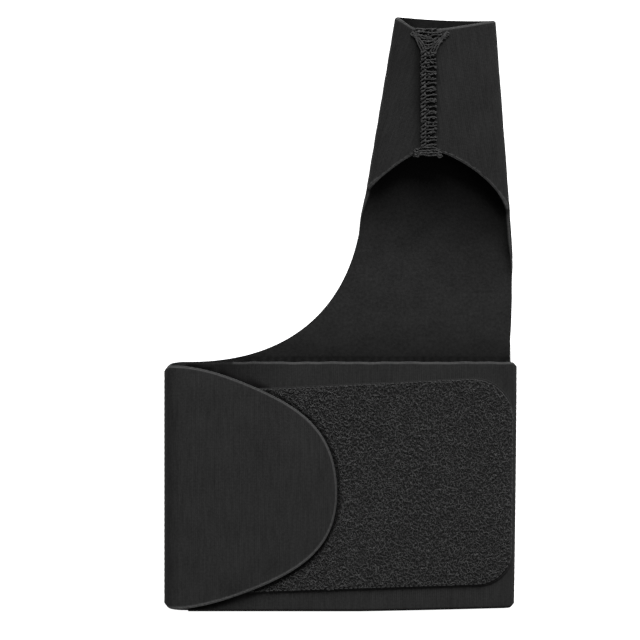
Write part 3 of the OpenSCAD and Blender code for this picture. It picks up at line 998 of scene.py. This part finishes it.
def threads(name, paths, node):
    """Threads lying on the sleeve's front; a path is points (x, y, height above the cloth)."""
    all_verts, all_faces, base = [], [], 0
    for path in paths:
        path = np.array(path, float)
        seg = np.concatenate([[0], np.cumsum(np.linalg.norm(np.diff(path, axis=0), axis=1))])
        n = max(4, int(seg[-1] / THREAD_STEP))
        s = np.linspace(0, seg[-1], n)
        p = np.stack([np.interp(s, seg, path[:, i]) for i in range(3)], 1)
        for _ in range(2):
            p[1:-1] = (p[:-2] + 2 * p[1:-1] + p[2:]) / 4
        # what would stand past the lip is drawn in over it
        past_lip = np.maximum(p[:, 1] - lip_y(p[:, 0]), 0)
        p[:, 1] -= 0.8 * past_lip
        p[:, 2] += sleeve_top(p[:, 0], p[:, 1]) - 0.4 * past_lip
        v, f = tubes(p[None], THREAD_R, 6)
        all_verts.append(v)
        all_faces += [tuple(i + base for i in q) for q in f]
        base += len(v)
    obj = make_object(name, np.concatenate(all_verts), all_faces, [THREAD])
    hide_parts(node)
    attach(obj, "thumb_sleeve")


def shake(a):
    """A random amount of up to a, either way."""
    return float(rng.uniform(-a, a))


def strand(x0, sway, phase, pitch, low, high, jitter):
    """One strand of the braid down the seam, swaying and dipping."""
    y = np.arange(low, high, 0.18)
    q = 2 * math.pi * y / pitch + phase
    drift = np.interp(y, np.linspace(low, high, 30), rng.uniform(-jitter, jitter, 30))
    return np.stack([x0 + sway * np.sin(q) + drift, y + 0.12 * np.sin(2 * q) + drift,
                     0.36 + 0.27 * np.cos(q) + 0.5 * drift], 1)


def ring(cx, cy, r, lift, start=0.3, end=5.8):
    """An open loop of thread, tilted a little."""
    return [(cx + r * math.cos(q), cy + r * math.sin(q), lift + 0.15 * math.sin(q + cx))
            for q in np.linspace(start, end, 12)]


COL_LOW, COL_HIGH = 134.2, 162.2
BRAID_X, RUNG_END, PITCH = SEAM_X - 1.5, SEAM_X + 2.0, 1.12


def seam_column():
    """A braid on the left, and rungs of thread from it to small loops on the right."""
    paths = [strand(BRAID_X - 0.1, 0.75, phase, 2 * PITCH, COL_LOW - 0.5, COL_HIGH, 0.16)
             for phase in (0, math.pi)]
    y, turn = COL_LOW, 0
    while y < COL_HIGH:
        odd = turn % 2
        rise = 0.25 + shake(0.42)
        paths.append([(BRAID_X + 0.5 + shake(0.15), y + shake(0.1), 0.1),
                      (BRAID_X + 1.1, y + rise * 0.3 + shake(0.2), 0.36),
                      (RUNG_END - 0.8 + shake(0.2), y + rise + shake(0.3), 0.30 + shake(0.16)),
                      (RUNG_END + 0.15 + shake(0.3), y + rise * 1.1 + shake(0.25), 0.02)])
        paths.append(ring(RUNG_END - 0.2 + shake(0.2) - 0.5 * odd, y + rise + shake(0.15), 0.26 + shake(0.05),
                          0.48 - 0.12 * odd))
        paths.append(ring(BRAID_X + (0.55 if odd else -0.45) + shake(0.12), y + 0.15 + shake(0.12),
                          0.27 + shake(0.04), 0.62))
        if rng.uniform() < 0.75:
            paths.append(ring(BRAID_X + 1.7 + shake(0.7), y + 0.4 + shake(0.4), 0.26 + shake(0.06), 0.45))
        y += PITCH + shake(0.09)
        turn += 1
    return paths


def seam_top():
    """A fan widening to the mouth: stays and loops on both sides, rows of loops, threads along the lip."""
    paths = []
    for side, reach in ((-1, 4.9), (1, 5.6)):
        end = SEAM_X + side * (reach - 0.2)
        for k in range(3):
            o = 0.75 * k
            paths.append([(SEAM_X + side * (0.5 + o), COL_HIGH - 0.8, 0.1),
                          (SEAM_X + side * (1.6 + o), COL_HIGH + 1.6, 0.6),
                          (SEAM_X + side * (reach - 1.4 + 0.3 * o), COL_HIGH + 3.8, 0.5),
                          (end, COL_HIGH + 5.2 - 0.8 * k, 0.15)])
        for k in range(4):
            paths.append(ring(end - side * 0.95 * k + shake(0.15), COL_HIGH + 4.5 - 1.0 * k + shake(0.2),
                              0.46 + shake(0.06), 0.4))
    for k in range(6):
        y = COL_HIGH + 0.3 + k * 0.9
        w = 1.1 + k * 0.55
        for cx in np.arange(-w, w + 0.3, 1.15):
            paths.append(ring(SEAM_X + cx + shake(0.25), y + shake(0.3), 0.3 + shake(0.1), 0.35 + shake(0.12),
                              shake(1.5), 4.2 + shake(1.0)))
        paths.append([(SEAM_X - w, y + 0.3 + shake(0.4), 0.1),
                      (SEAM_X - w / 2, y + shake(0.5), 0.5),
                      (SEAM_X + shake(0.5), y - 0.15 + shake(0.5), 0.4),
                      (SEAM_X + w / 2, y + shake(0.5), 0.5),
                      (SEAM_X + w, y + 0.3 + shake(0.4), 0.1)])
    for k in range(2):
        paths.append([(SEAM_X + q, float(lip_y(SEAM_X + q)) + 0.1 + 0.35 * math.sin(2.6 * q + 2 * k),
                       -0.1 + 0.35 * k + 0.2 * math.cos(2.6 * q)) for q in np.linspace(-3.6, 2.2, 16)])
    return paths


def seam_foot():
    """A short bar across the seam's lower end, with loops along it."""
    paths = []
    for k in range(4):
        y = COL_LOW - 0.4 - k * 0.72
        w = 2.5 + k * 0.5
        paths.append([(SEAM_X - w - 0.4, y - 0.3 + shake(0.1), 0.05), (SEAM_X - w * 0.5, y + shake(0.2), 0.6),
                      (SEAM_X, y + shake(0.25), 0.35), (SEAM_X + w * 0.5, y + shake(0.2), 0.62),
                      (SEAM_X + w, y - 0.3 + shake(0.1), 0.05)])
    for cx in (-3.8, -2.05, -0.3, 1.45, 3.2):
        paths.append(ring(SEAM_X + cx + shake(0.2), COL_LOW - 1.9 + shake(0.4), 0.5 + shake(0.1), 0.5))
    for cx, cy in ((-3.6, -1.3), (-3.3, -2.6), (3.1, -2.8)):
        paths.append(ring(SEAM_X + cx, COL_LOW + cy, 0.55, 0.4))
    return paths


threads("seam_zigzag_loops", seam_column(), "seam_zigzag_thread")
threads("seam_top_loops", seam_top(), "seam_top_tack")
threads("seam_lower_loops", seam_foot(), "seam_lower_tack")

# ---------------------------------------------------------------- floor, light and camera
bpy.ops.mesh.primitive_plane_add(size=12, location=(0, 0, 0))
floor = bpy.context.object
floor.name = "studio_floor"
paper, tree, shader = start_material("pale_paper", 0.9, 0.0, 0.1)
shader.inputs["Base Color"].default_value = (0.93, 0.93, 0.93, 1)
shader.inputs["Emission Color"].default_value = (1, 1, 1, 1)
shader.inputs["Emission Strength"].default_value = 0.95
floor.data.materials.append(paper)
floor.visible_diffuse = False          # the floor throws no light back up the part's sides

world = bpy.data.worlds.new("studio")
bpy.context.scene.world = world
world.use_nodes = True
tree = world.node_tree
# a soft dome of light from above; the camera itself sees plain white
direction = add(tree, "ShaderNodeTexCoord").outputs["Generated"]
_, _, up = add(tree, "ShaderNodeSeparateXYZ", (0, direction)).outputs
dome = math_node(tree, "MULTIPLY", stretch(tree, up, 0.0, 0.5), 0.16)
seen = add(tree, "ShaderNodeLightPath").outputs["Is Camera Ray"]
sky = math_node(tree, "MAXIMUM", dome, seen)
tree.links.new(sky, tree.nodes["Background"].inputs["Strength"])
tree.nodes["Background"].inputs["Color"].default_value = (1, 1, 1, 1)


def area_light(name, place, size, energy):
    """A square light at a place in metres, facing the frame's origin."""
    light = bpy.data.lights.new(name, "AREA")
    light.size = size
    light.energy = energy
    lamp = bpy.data.objects.new(name, light)
    lamp.location = place
    lamp.rotation_mode = "QUATERNION"
    lamp.rotation_quaternion = Vector(place).to_track_quat("Z", "Y")
    bpy.context.scene.collection.objects.link(lamp)


area_light("key", (0.2, 1.65, 1.15), 1.2, 57.5)
area_light("fill", (1.2, -0.1, 1.1), 0.8, 3)

# straight down, from far enough that the wrap's thickness hardly shows
VIEW_AT, VIEW_WIDTH, VIEW_FAR = (-0.00595, -0.0019), 0.1856, 1.5
camera = bpy.data.cameras.new("camera")
camera.lens = camera.sensor_width * VIEW_FAR / VIEW_WIDTH
eye = bpy.data.objects.new("camera", camera)
eye.location = (VIEW_AT[0], VIEW_AT[1], VIEW_FAR)
bpy.context.scene.collection.objects.link(eye)
bpy.context.scene.camera = eye
bpy.context.scene.view_settings.view_transform = "Standard"
